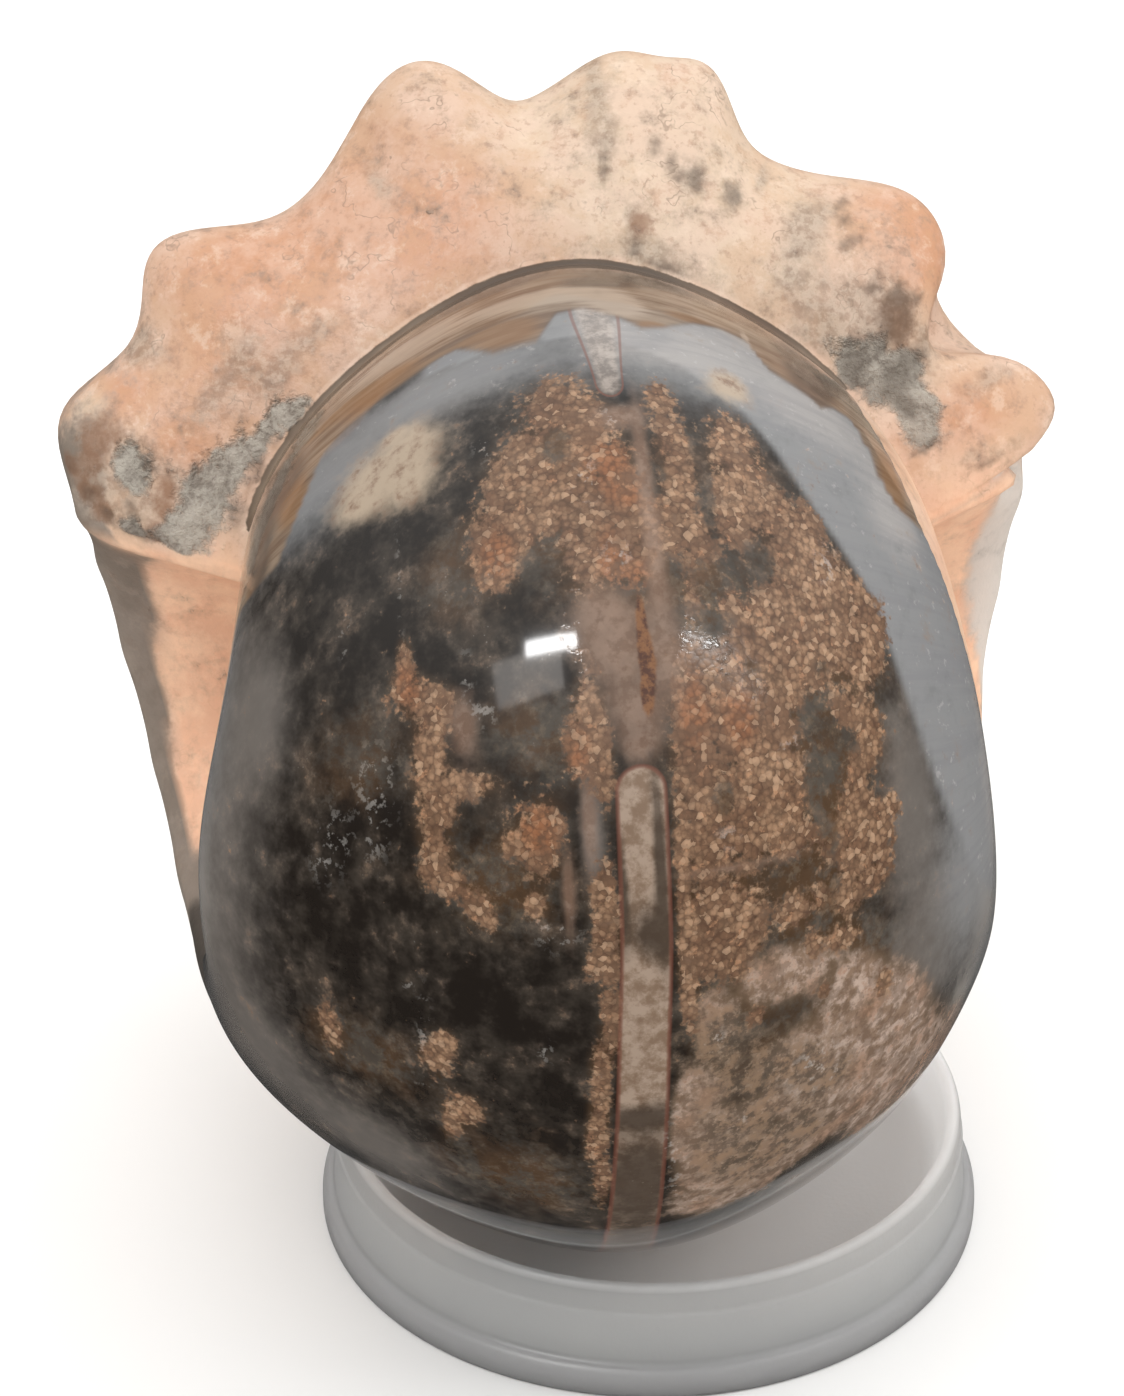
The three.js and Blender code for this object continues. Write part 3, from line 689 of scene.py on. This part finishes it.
class StoneTree:
    """The stone's node tree, with its masks and patterns by name, and how colours are laid in it.

    A colour is a hex code, a setting or a node's output. A share says how much of it shows: a
    node's output, or a pattern's smooth way from low to high, and the values at its two ends.
    """

    def __init__(self, tree):
        self.tree = tree
        place = node(tree, "ShaderNodeTexCoord").outputs["Object"]
        self.sources = {}
        for name in (*WORKED_OUT_MASKS, *PATCHES):
            self.sources[name] = node(tree, "ShaderNodeAttribute", attribute_name=name).outputs["Fac"]
        for name, (size, detail, roughness) in STONE_PATTERNS.items():
            self.sources[name] = node(tree, "ShaderNodeTexNoise", {
                "Vector": place, "Scale": 1 / (size * MM), "Detail": detail, "Roughness": roughness,
            }).outputs["Fac"]
        skin = node(tree, "ShaderNodeAttribute", attribute_name="place").outputs["Vector"]
        drawn_out = node(tree, "ShaderNodeVectorMath", {
            0: skin, 1: (STREAK_LENGTH, 1.0, 1.0),
        }, operation="MULTIPLY")
        self.sources["streak"] = node(tree, "ShaderNodeTexNoise", {
            "Vector": drawn_out.outputs[0], "Scale": 1 / (STREAK_SIZE * MM), "Detail": 4, "Roughness": 0.6,
        }).outputs["Fac"]
        wobble = node(tree, "ShaderNodeTexNoise", {
            "Vector": place, "Scale": 1 / (GRAIN_WOBBLE * MM), "Detail": 1.0,
        })
        shifted = node(tree, "ShaderNodeVectorMath", {
            0: wobble.outputs["Color"], 1: (GRAIN_SHIFT * MM,) * 3, 2: place,
        }, operation="MULTIPLY_ADD")
        grains = node(tree, "ShaderNodeTexVoronoi", {
            "Vector": shifted.outputs[0], "Scale": 1 / (GRAIN_SIZE * MM), "Randomness": 1.0,
        })
        self.sources["grain_edge"] = grains.outputs["Distance"]
        tint = node(tree, "ShaderNodeSeparateColor", {0: grains.outputs["Color"]})
        self.sources["grain_tint"] = tint.outputs[0]
        self.sources["uneven"] = self.added(("middle", 0.55), ("small", 0.45))
        self.sources["broken"] = self.added(("middle", 0.25), ("small", 0.4), ("fine", 0.35))

    def source(self, value):
        """A mask or a pattern for its name, and anything else as it is."""
        return self.sources[value] if isinstance(value, str) else value

    def added(self, *parts):
        """Patterns added up, each times its weight."""
        total = 0.0
        for part, weight in parts:
            total = node(self.tree, "ShaderNodeMath", {
                0: self.source(part), 1: weight, 2: total,
            }, operation="MULTIPLY_ADD").outputs[0]
        return total

    def share(self, *parts):
        """How much of a colour shows, from parts that multiply."""
        total = 1.0
        for part in parts:
            if isinstance(part, tuple):
                pattern, low, high, *ends = part
                at_low, at_high = ends or (0, 1)
                part = node(self.tree, "ShaderNodeMapRange", {
                    "Value": self.source(pattern), "From Min": low, "From Max": high,
                    "To Min": at_low, "To Max": at_high,
                }, interpolation_type="SMOOTHSTEP").outputs[0]
            total = node(self.tree, "ShaderNodeMath", {
                0: total, 1: self.source(part),
            }, operation="MULTIPLY").outputs[0]
        return total

    def distance(self, name, value):
        """How far a mask or a pattern is from a value, either way."""
        past = node(self.tree, "ShaderNodeMath", {0: self.source(name), 1: value}, operation="SUBTRACT")
        return node(self.tree, "ShaderNodeMath", {0: past.outputs[0]}, operation="ABSOLUTE").outputs[0]

    def ragged(self, name, spread, soft, strength=1.0, lumps="uneven"):
        """A mask with an uneven edge, which the lumps push in and out."""
        pushed = self.added((name, 1.0), (lumps, spread))
        return self.share((pushed, 0.5 - soft + spread / 2, 0.5 + soft + spread / 2, 0.0, strength))

    def lay(self, under, over, *parts):
        """Lays one colour over another."""
        pair = []
        for colour in (under, over):
            if isinstance(colour, str):
                colour = linear(colour)
            pair.append(colour if isinstance(colour, bpy.types.NodeSocket) else [*colour, 1.0])
        return node(self.tree, "ShaderNodeMix", {
            0: self.share(*parts), 6: pair[0], 7: pair[1],
        }, data_type="RGBA").outputs[2]

    def lay_patches(self, under, over, name, spread, soft, strength=1.0):
        """Lays a colour in the patches of this name, with uneven edges."""
        return self.lay(under, over, self.ragged(name, spread, soft, strength))

    def lay_patterns(self, colour, *layers):
        """Lays further colours over one, each by the pattern that comes with it."""
        for code, *part in layers:
            colour = self.lay(colour, code, tuple(part))
        return colour


def limestone_colour(stone, colours):
    """Ground peach limestone: cloudy pale and pink parts, soft grey smudges and a fine speckle."""
    limestone = stone.lay(colours.limestone, colours.limestone_pale, ("large", 0.35, 0.65))
    limestone = stone.lay_patches(limestone, "#C48964", "pink", 1.2, 0.5, 0.75)
    limestone = stone.lay_patches(limestone, colours.cream, "cream", 1.2, 0.45, 0.7)
    limestone = stone.lay_patterns(
        limestone,
        ("#E0C2B0", "clouds", 0.42, 0.6, 0, 0.35), ("#C9A07E", "clouds", 0.5, 0.38, 0, 0.3),
        ("#BE9074", "blotches", 0.52, 0.66, 0, 0.4), ("#E6D0BC", "blotches", 0.46, 0.34, 0, 0.35),
        ("#A5826C", "flecks", 0.56, 0.68, 0, 0.3), ("#A9806B", "fine", 0.55, 0.8, 0, 0.25))
    # a few hair-thin brown veins, where two sides of a wavy pattern meet
    off_vein = stone.distance("waves", 0.5)
    limestone = stone.lay(limestone, "#7A6452", (off_vein, 0.008, 0.0, 0, 0.5), ("clouds", 0.48, 0.58))
    # the weathered skin of the flanks and the back
    patina = stone.lay(colours.patina, "#786D62", ("clouds", 0.4, 0.6))
    patina = stone.lay_patterns(patina, ("#9A8D81", "blotches", 0.52, 0.64, 0, 0.4))
    limestone = stone.lay(limestone, patina, stone.ragged("patina", 1.8, 0.25, 0.95, "clouds"))
    limestone = stone.lay_patches(limestone, "#8C7F73", "weathered", 3.0, 0.42, 0.5)
    smudge = stone.lay("#84705F", "#B3A392", ("flecks", 0.4, 0.6))
    limestone = stone.lay_patches(limestone, smudge, "smudge", 2.8, 0.6, 0.65)
    limestone = stone.lay_patches(limestone, "#8A6247", "rusty", 2.4, 0.4, 0.7)
    # painted light, a brighter peach, on the flanks past their skin, and chalk and soot outside
    blush = stone.lay("#FCD0AE", "#E9AF8C", ("clouds", 0.42, 0.6, 0, 0.6))
    limestone = stone.lay(limestone, blush, "blush", ("blotches", 0.3, 0.6, 0.95, 0.8))
    limestone = stone.lay_patches(limestone, "#D8CFC6", "chalk", 1.4, 0.4, 0.85)
    return stone.lay_patches(limestone, "#4A433C", "soot", 0.8, 0.2, 0.95)


def crystal_colour(stone, colours, limestone, crystals):
    """Rough grey crystals that stick to the crown, and dark brown stains with painted shadow beside them
    and in its crevices.
    """
    crystal = stone.lay("#79736A", colours.crystal, ("small", 0.36, 0.62))
    crystal = stone.lay(crystal, "#B9B3A6", ("fine", 0.42, 0.62, 0, 0.4))
    limestone = stone.lay(limestone, crystal, crystals, 0.9)
    # the stains carry painted shadow too, beside the crystals and in the crevices
    return stone.lay_patches(limestone, colours.stain_and_shadow, "stain_and_shadow", 2.4, 0.55, 0.6)


def calcite_colour(stone, colours):
    """Dark smoky calcite, with clearer amber places, a grey haze and a bank of cloud that are partly
    painted reflection, and a beige veil.
    """
    calcite = stone.lay(colours.calcite, "#38322C", ("middle", 0.4, 0.65))
    amber = stone.lay_patterns(
        colours.amber,
        ("#575048", "blotches", 0.42, 0.58), ("#7A6A58", "flecks", 0.5, 0.66, 0, 0.5),
        ("#3C332B", "clouds", 0.5, 0.4, 0, 0.4))
    calcite = stone.lay(calcite, amber, ("crust", 0.03, 0.6, 0, 0.5))
    calcite = stone.lay_patches(calcite, amber, "amber", 2.2, 0.5, 0.7)
    calcite = stone.lay_patches(calcite, "#79726C", "smoke", 0.8, 0.45, 0.65)
    # lighter grey at the limbs: partly the calcite's clearer edge, partly painted reflection of the pale
    # floor
    calcite = stone.lay_patches(calcite, "#A59E96", "edge", 0.5, 0.4, 0.7)
    # the glow lightens the haze: partly real cloud, partly painted reflection
    cloud = stone.lay_patches(colours.haze_and_sheen, "#A6A19D", "glow", 0.9, 0.4, 0.75)
    cloud = stone.lay_patterns(
        cloud, ("#747277", "streak", 0.42, 0.64, 0, 0.25), ("#B9B5B2", "flecks", 0.6, 0.72, 0, 0.4))
    # the haze and the bank: partly real cloudy calcite, partly painted reflection of the bright
    # surroundings
    calcite = stone.lay_patches(calcite, cloud, "haze_and_sheen", 0.9, 0.5, 0.8)
    calcite = stone.lay(calcite, cloud, "bank", ("uneven", 0.3, 0.5, 0.8, 0.95))
    veil = stone.lay(colours.veil, "#8A705C", ("small", 0.45, 0.75))
    calcite = stone.lay_patches(calcite, veil, "veil", 1.4, 0.4, 0.85)
    # mottled places low on the right: pale and brown, and murkier towards the middle
    mottle = stone.lay_patterns(
        "#8A7260",
        ("#BEA899", "small", 0.4, 0.62), ("#A0765A", "blotches", 0.5, 0.62, 0, 0.6),
        ("#5C4A3D", "flecks", 0.56, 0.44, 0, 0.45))
    calcite = stone.lay(calcite, "#705D4B", ("mottle", 0.15, 0.6, 0, 0.6))
    calcite = stone.lay_patches(calcite, mottle, "mottle", 1.5, 0.25, 0.85)
    murk = stone.lay_patterns(
        "#554A40",
        ("#8C735D", "small", 0.42, 0.6), ("#66584C", "flecks", 0.42, 0.6, 0, 0.5),
        ("#A68F7A", "fine", 0.55, 0.7, 0, 0.5))
    return stone.lay_patches(calcite, murk, "murk", 2.4, 0.4, 0.8)


def crust_colour(stone, colours):
    """Brown granular crusts, with rusty places, dark joints between the grains and a few pale grains,
    partly painted glints.
    """
    tone = stone.added(("uneven", 0.84), ("grain_tint", 0.16))
    crust = stone.lay(colours.crust, colours.crust_pale, (tone, 0.4, 0.6))
    crust = stone.lay_patches(crust, "#96603F", "rust", 1.6, 0.4, 0.6)
    return stone.lay_patterns(
        crust,
        ("#45342A", "grain_edge", 0.3, 0.8, 0, 0.6), ("#543F30", "small", 0.5, 0.62, 0, 0.55),
        # the palest grains are partly painted glints
        ("#6B5140", "blotches", 0.5, 0.62, 0, 0.5), ("#C0A083", "grain_tint", 0.8, 1.0, 0, 0.4),
        ("#B98A68", "flecks", 0.6, 0.7, 0, 0.5))


def siphuncle_colour(stone, colours, calcite):
    """The siphuncle in the calcite: a mottled tube with thin red-brown walls, and its chamber."""
    milky = stone.lay("#9C8271", "#7F6453", ("small", 0.4, 0.6))
    calcite = stone.lay_patches(calcite, milky, "pale", 1.4, 0.5, 0.65)
    eye = stone.lay("#4A2D22", "#7E5638", ("flecks", 0.4, 0.6))
    calcite = stone.lay_patches(calcite, eye, "eye", 0.8, 0.2, 0.9)
    filling = stone.lay(colours.siphuncle, "#816B59", ("small", 0.38, 0.62))
    filling = stone.lay_patches(filling, "#43382F", "tube_dark", 1.0, 0.35, 0.9)
    calcite = stone.lay(calcite, filling, ("tube", 1.06, 0.9, 0, 0.9))
    chamber = stone.lay("#7F746B", "#B5A89D", ("flecks", 0.35, 0.65))
    calcite = stone.lay(calcite, chamber, ("neck", 1.15, 0.5, 0, 0.62))
    for name, wall in (("tube", 0.14), ("neck", 0.12)):
        off_wall = stone.distance(name, 1.0)
        calcite = stone.lay(calcite, colours.siphuncle_wall, (off_wall, wall, 0.03, 0, 0.55))
    return calcite


def shell_colour(stone, colours):
    """The shell layer at the top of the polished front, streaked along the arch."""
    shell = stone.lay(colours.shell, colours.shell_pale, ("streak", 0.35, 0.65))
    for name, colour, strength in (
        ("ochre", colours.ochre, 0.6), ("ivory", "#A99887", 0.7), ("shade", "#54483F", 0.85),
    ):
        streaky = stone.added((name, 1.0), ("streak", 1.0))
        shell = stone.lay(shell, colour, (streaky, 0.8, 1.3, 0, strength))
    return shell


def make_stone(colours):
    """Polished smoky calcite and ground peach limestone: one dark and glossy, the other warm and dull."""
    material = new_material("polished_calcite_and_ground_limestone")
    stone = StoneTree(material.node_tree)
    crystals = stone.ragged("crystal", 2.2, 0.25)
    hollow = stone.ragged("hollow", 3.0, 0.3, 0.8)
    filled = node(stone.tree, "ShaderNodeMath", {0: 1.0, 1: hollow}, operation="SUBTRACT").outputs[0]
    crusts = stone.share(stone.ragged("crust", 3.4, 0.2, 1.0, "broken"), filled)
    polished = stone.ragged("calcite", 0.5, 0.1)

    limestone = crystal_colour(stone, colours, limestone_colour(stone, colours), crystals)
    calcite = stone.lay(calcite_colour(stone, colours), crust_colour(stone, colours), crusts)
    calcite = siphuncle_colour(stone, colours, calcite)
    calcite = stone.lay(calcite, shell_colour(stone, colours), "rim")
    # glints of tiny cleavage faces, and white scratches
    calcite = stone.lay(calcite, "#C9C4BC", ("grain_edge", 0.16, 0.05), ("middle", 0.54, 0.7, 0, 0.2))
    calcite = stone.lay(calcite, "#B5B0AA", ("flecks", 0.54, 0.62), "sparkle", 0.4)

    dull = stone.share((crystals, 0, 1, 0.42, 0.62))
    gloss = stone.share((crusts, 0, 1, 0.08, 0.2))
    roughness = node(stone.tree, "ShaderNodeMix", {0: polished, 2: dull, 3: gloss}).outputs[0]
    # the ground stone keeps a fine tooth, the crystals are rough, and the crusts' grains are rounded
    tooth = stone.share((polished, 0, 1, 0.16, 0))
    ground = node(stone.tree, "ShaderNodeMath", {0: 1.0, 1: polished}, operation="SUBTRACT").outputs[0]
    rough = stone.share(crystals, ground)
    rounding = stone.share(crusts, -0.02)
    relief = stone.added(("small", tooth), ("small", rough), ("grain_edge", rounding))
    bump = node(stone.tree, "ShaderNodeBump", {"Height": relief, "Strength": 1.0, "Distance": 0.5 * MM})
    shader = node(stone.tree, "ShaderNodeBsdfPrincipled", {
        "Base Color": stone.lay(limestone, calcite, polished), "Roughness": roughness,
        "Normal": bump.outputs[0], "IOR": 1.5, "Specular IOR Level": 0.3,
    })
    node(stone.tree, "ShaderNodeOutputMaterial", {"Surface": shader.outputs[0]})
    return material


def make_plastic(stand):
    """Frosted injection-moulded plastic: hazy, so that light softens in it and nothing shows sharply."""
    material = new_material("frosted_moulded_plastic")
    tree = material.node_tree
    place = node(tree, "ShaderNodeTexCoord").outputs["Object"]
    # the moulded frosting, 0.4 mm here so that it shows
    frost = node(tree, "ShaderNodeTexNoise", {"Vector": place, "Scale": 1 / (0.4 * MM), "Detail": 3.0})
    cloud = node(tree, "ShaderNodeTexNoise", {"Vector": place, "Scale": 1 / (9 * MM), "Detail": 2.0})
    height = node(tree, "ShaderNodeSeparateXYZ", {0: place}).outputs["Z"]
    level = node(tree, "ShaderNodeVectorMath", {0: place, 1: (1, 1, 0)}, operation="MULTIPLY").outputs[0]
    reach = node(tree, "ShaderNodeVectorMath", {0: level}, operation="LENGTH").outputs["Value"]
    # it is cloudy, and the rest is painted light: shade on the foot, light in the dish, a highlight on the
    # lip
    tint = [*stand.colour, 1.0]
    for measure, start, end, code in (
        # painted shade darkens the foot, under the crease
        (cloud.outputs["Fac"], 0, 1, "#ABABAB"), (height, 2.9 * MM, 2.2 * MM, "#9F9E9E"),
        # painted light brightens the dish in the stone's shadow, and a painted highlight runs along the
        # lip's top
        (reach, 22.6 * MM, 21.9 * MM, "#F4F7F6"), (height, 8.3 * MM, 8.7 * MM, "#EDEEEC"),
    ):
        share = node(tree, "ShaderNodeMapRange", {"Value": measure, "From Min": start, "From Max": end})
        tint = node(tree, "ShaderNodeMix", {
            0: share.outputs[0], 6: tint, 7: [*linear(code), 1.0],
        }, data_type="RGBA").outputs[2]
    bump = node(tree, "ShaderNodeBump", {
        "Height": frost.outputs["Fac"], "Strength": 0.15, "Distance": 0.1 * MM,
    })
    shader = node(tree, "ShaderNodeBsdfPrincipled", {
        "Base Color": tint, "Roughness": 0.38, "IOR": 1.49, "Normal": bump.outputs[0],
        "Subsurface Weight": 1.0, "Subsurface Radius": (1, 1, 1), "Subsurface Scale": 12 * MM,
    })
    node(tree, "ShaderNodeOutputMaterial", {"Surface": shader.outputs[0]})
    return material


# ---- operators ----


class AMMONITE_OT_stone(bpy.types.Operator):
    """Builds the ammonite: its last whorl, the early whorls in its navels, and its stone"""

    bl_idname = "ammonite.stone"
    bl_label = "Ammonite"

    def execute(self, context):
        coil = context.scene.ammonite_coil
        last, fields = make_last_whorl(coil)
        early = make_early_whorls(coil)
        rings, sides = early.shape[:2]
        first = last.shape[0] * last.shape[1]
        after = first + rings * sides
        core, core_faces = make_core(coil, after)
        faces = grid_faces(*last.shape[:2], 0, True) + grid_faces(rings, sides, first, False)
        # the early whorls' two ends are closed flat
        faces += [tuple(range(first, first + sides)), tuple(range(after - 1, after - sides - 1, -1))]
        points = np.concatenate([last.reshape(-1, 3), early.reshape(-1, 3), core])
        material = make_stone(context.scene.ammonite_colours)
        piece = new_piece("ammonite_stone", points, faces + core_faces, material)
        for name, values in fields.items():
            values = values.reshape(first, -1)
            inner = np.full((len(points) - first, values.shape[1]), INNER_MASKS.get(name, 0.0))
            fields[name] = np.concatenate([values, inner])
        add_fields(piece.data, fields)
        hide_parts("ammonite")
        return {"FINISHED"}


# The stand's outline in millimetres, from the underside's middle, up the outside and down into the
# dish: radius, height, and the length that the corner's fillet takes.
STAND_OUTLINE = [
    (0, 0, 0), (24.15, 0, 0.25), (24.4, 0.25, 0.25), (24.4, 1.45, 0.4), (24.1, 2.15, 0.4),
    (23.5, 2.5, 0.25), (23.42, 3.2, 0.3), (23.3, 6.5, 0.2), (23.15, 6.75, 0.2), (23.1, 8.1, 0.5),
    (22.75, 8.8, 0.35), (22.25, 8.8, 0.3), (21.9, 8.2, 0.4), (21.4, 4.8, 0.8), (20.4, 4.0, 0.8),
    (0, 4.0, 0),
]
STAND_SIDES = 192
FILLET_STEPS = 6


def round_corners(outline):
    """An outline's points, with a small arc at each corner that has a fillet."""
    rounded = []
    for i, (radius, height, fillet) in enumerate(outline):
        corner = np.array([radius, height])
        if not fillet:
            rounded.append(corner)
            continue
        ends = []
        for k in (i - 1, i + 1):
            arm = np.array(outline[k][:2]) - corner
            length = np.linalg.norm(arm)
            ends.append(corner + arm / length * min(fillet, 0.45 * length))
        for t in np.linspace(0, 1, FILLET_STEPS):
            rounded.append((1 - t) ** 2 * ends[0] + 2 * t * (1 - t) * corner + t * t * ends[1])
    return np.array(rounded)


class AMMONITE_OT_stand(bpy.types.Operator):
    """Turns the round plastic dish that the fossil sits in"""

    bl_idname = "ammonite.stand"
    bl_label = "Display stand"

    def execute(self, context):
        stand = context.scene.ammonite_stand
        scale = np.array([stand.radius, stand.height]) / np.max(STAND_OUTLINE, axis=0)[:2]
        profile = round_corners(STAND_OUTLINE) * scale
        angle = np.radians(steps((0, 360, 360 / STAND_SIDES)))
        rim = profile[1:-1]
        points = [(0, 0, profile[0][1]), (0, 0, profile[-1][1])]
        for turn in angle:
            points += [(radius * math.cos(turn), radius * math.sin(turn), height) for radius, height in rim]
        faces = []
        count = len(rim)
        for i in range(STAND_SIDES):
            here, after = 2 + i * count, 2 + (i + 1) % STAND_SIDES * count
            faces.append((0, after, here))
            faces.append((1, here + count - 1, after + count - 1))
            faces += [(here + j, after + j, after + j + 1, here + j + 1) for j in range(count - 1)]
        piece = new_piece("frosted_stand", points, faces, make_plastic(stand))
        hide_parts("display_stand")
        return {"FINISHED"}


# Where the lights point, how far off they stand, the warm light of the sills, and half the floor's
# breadth.
LIT_PLACE = Vector((-0.010, -0.028, 0.0635))
LIGHT_DISTANCE = 0.85
WHITE, WARM = (1.0, 1.0, 1.0), (1.0, 0.94, 0.89)
FLOOR = 30.0


def direction(side, height):
    """The way to a place so far round from the front and so far above the horizon."""
    level = math.cos(height)
    return Vector((math.sin(side) * level, -math.cos(side) * level, math.sin(height)))


def add_daylight(scene, strength):
    """Soft daylight from above, with hardly any from below."""
    world = bpy.data.worlds.new("soft_daylight")
    scene.world = world
    world.use_nodes = True
    sky = world.node_tree
    way = node(sky, "ShaderNodeSeparateXYZ", {0: node(sky, "ShaderNodeTexCoord").outputs["Generated"]})
    height = node(sky, "ShaderNodeMapRange", {
        "Value": way.outputs["Z"], "From Min": -0.1, "From Max": 0.8, "To Min": 0.07, "To Max": 1.35,
    }, interpolation_type="SMOOTHSTEP")
    strength = node(sky, "ShaderNodeMath", {0: height.outputs[0], 1: strength}, operation="MULTIPLY")
    sky.links.new(strength.outputs[0], sky.nodes["Background"].inputs["Strength"])
    sky.nodes["Background"].inputs["Color"].default_value = (1, 1, 1, 1)


def add_floor(scene):
    """Matte white paper, which fills the whole view and scatters light back on the stone."""
    mesh = bpy.data.meshes.new("floor")
    corners = [(-FLOOR, -FLOOR, 0), (FLOOR, -FLOOR, 0), (FLOOR, FLOOR, 0), (-FLOOR, FLOOR, 0)]
    mesh.from_pydata(corners, [], [(0, 1, 2, 3)])
    floor = bpy.data.objects.new("floor", mesh)
    scene.collection.objects.link(floor)
    paper = new_material("matte_white_paper")
    shader = node(paper.node_tree, "ShaderNodeBsdfPrincipled", {
        "Base Color": [*linear("#FBFAF8"), 1.0], "Roughness": 0.9,
    })
    node(paper.node_tree, "ShaderNodeOutputMaterial", {"Surface": shader.outputs[0]})
    mesh.materials.append(paper)
    # the polished stone mirrors the dim room rather than the bright paper
    floor.visible_glossy = False


def add_lights(scene, studio):
    """The softbox and the cards light the stone; the windows only gleam in its polish."""
    # name, direction round from the front, height above the horizon, tilt, size, power
    lights = [
        ("softbox", -25, 66, 0, (0.7, 0.5), studio.softbox),
        ("left_card", -95, 14, 0, (0.5, 0.4), studio.softbox * 0.2),
        ("right_card", 92, 28, 0, (0.5, 0.4), studio.softbox * 0.9),
        ("window", -42, 48, 30, (0.27, 0.05), studio.window * 1.2),
        ("window_sill", -47, 39, 36, (0.32, 0.15), studio.window * 0.4),
        ("side_window", 52.5, 43, -41, (0.20, 0.016), studio.window * 0.3),
        ("side_sill", 60, 32, -88, (0.17, 0.014), studio.window * 0.1),
    ]
    for name, side, height, tilt, size, power in lights:
        light = bpy.data.lights.new(name, "AREA")
        light.shape = "RECTANGLE"
        light.size, light.size_y = size
        light.energy = power
        light.color = WARM if name.endswith("sill") else WHITE
        lamp = bpy.data.objects.new(name, light)
        soft = name == "softbox" or name.endswith("card")
        lamp.visible_diffuse = soft
        lamp.visible_glossy = not soft
        scene.collection.objects.link(lamp)
        way = direction(math.radians(side), math.radians(height))
        lamp.location = LIT_PLACE + way * LIGHT_DISTANCE
        lean = Quaternion((0, 0, 1), math.radians(tilt))
        lamp.rotation_euler = (way.to_track_quat("Z", "Y") @ lean).to_euler()


def add_camera(scene, studio):
    """The camera, which looks a little above the stand and to its left."""
    lens = bpy.data.cameras.new("camera")
    lens.sensor_width = 36
    lens.lens = studio.focal_length
    lens.clip_start = 0.01
    camera = bpy.data.objects.new("camera", lens)
    scene.collection.objects.link(camera)
    camera.location = direction(studio.side, studio.height) * studio.distance - Vector((0, 0, MM))
    sight = direction(studio.sight_side, studio.sight_height)
    camera.rotation_euler = sight.to_track_quat("Z", "Y").to_euler()
    scene.camera = camera


class AMMONITE_OT_studio(bpy.types.Operator):
    """Sets out the pale floor, the soft lights and the camera"""

    bl_idname = "ammonite.studio"
    bl_label = "Studio"

    def execute(self, context):
        scene = context.scene
        studio = scene.ammonite_studio
        scene.view_settings.view_transform = "Standard"
        add_daylight(scene, studio.daylight)
        add_floor(scene)
        add_lights(scene, studio)
        add_camera(scene, studio)
        return {"FINISHED"}


class AMMONITE_PT_panel(bpy.types.Panel):
    """The ammonite's sizes, colours and buttons"""

    bl_label = "Ammonite"
    bl_idname = "AMMONITE_PT_panel"
    bl_space_type = "VIEW_3D"
    bl_region_type = "UI"
    bl_category = "Ammonite"

    def draw(self, context):
        for name in GROUPS:
            box = self.layout.box()
            group = getattr(context.scene, name)
            for prop in group.bl_rna.properties:
                if prop.identifier not in ("rna_type", "name"):
                    box.prop(group, prop.identifier)
        for operator in OPERATORS:
            self.layout.operator(operator.bl_idname)


GROUPS = {
    "ammonite_coil": CoilSettings,
    "ammonite_colours": StoneColours,
    "ammonite_stand": StandSettings,
    "ammonite_studio": StudioSettings,
}
OPERATORS = [AMMONITE_OT_stone, AMMONITE_OT_stand, AMMONITE_OT_studio]


def register():
    for cls in [*GROUPS.values(), *OPERATORS, AMMONITE_PT_panel]:
        bpy.utils.register_class(cls)
    for name, cls in GROUPS.items():
        setattr(bpy.types.Scene, name, PointerProperty(type=cls))


def unregister():
    for name in GROUPS:
        delattr(bpy.types.Scene, name)
    for cls in reversed([*GROUPS.values(), *OPERATORS, AMMONITE_PT_panel]):
        bpy.utils.unregister_class(cls)


def main():
    """Builds the whole scene."""
    register()
    bpy.ops.ammonite.stone()
    bpy.ops.ammonite.stand()
    bpy.ops.ammonite.studio()


if __name__ == "__main__":
    main()
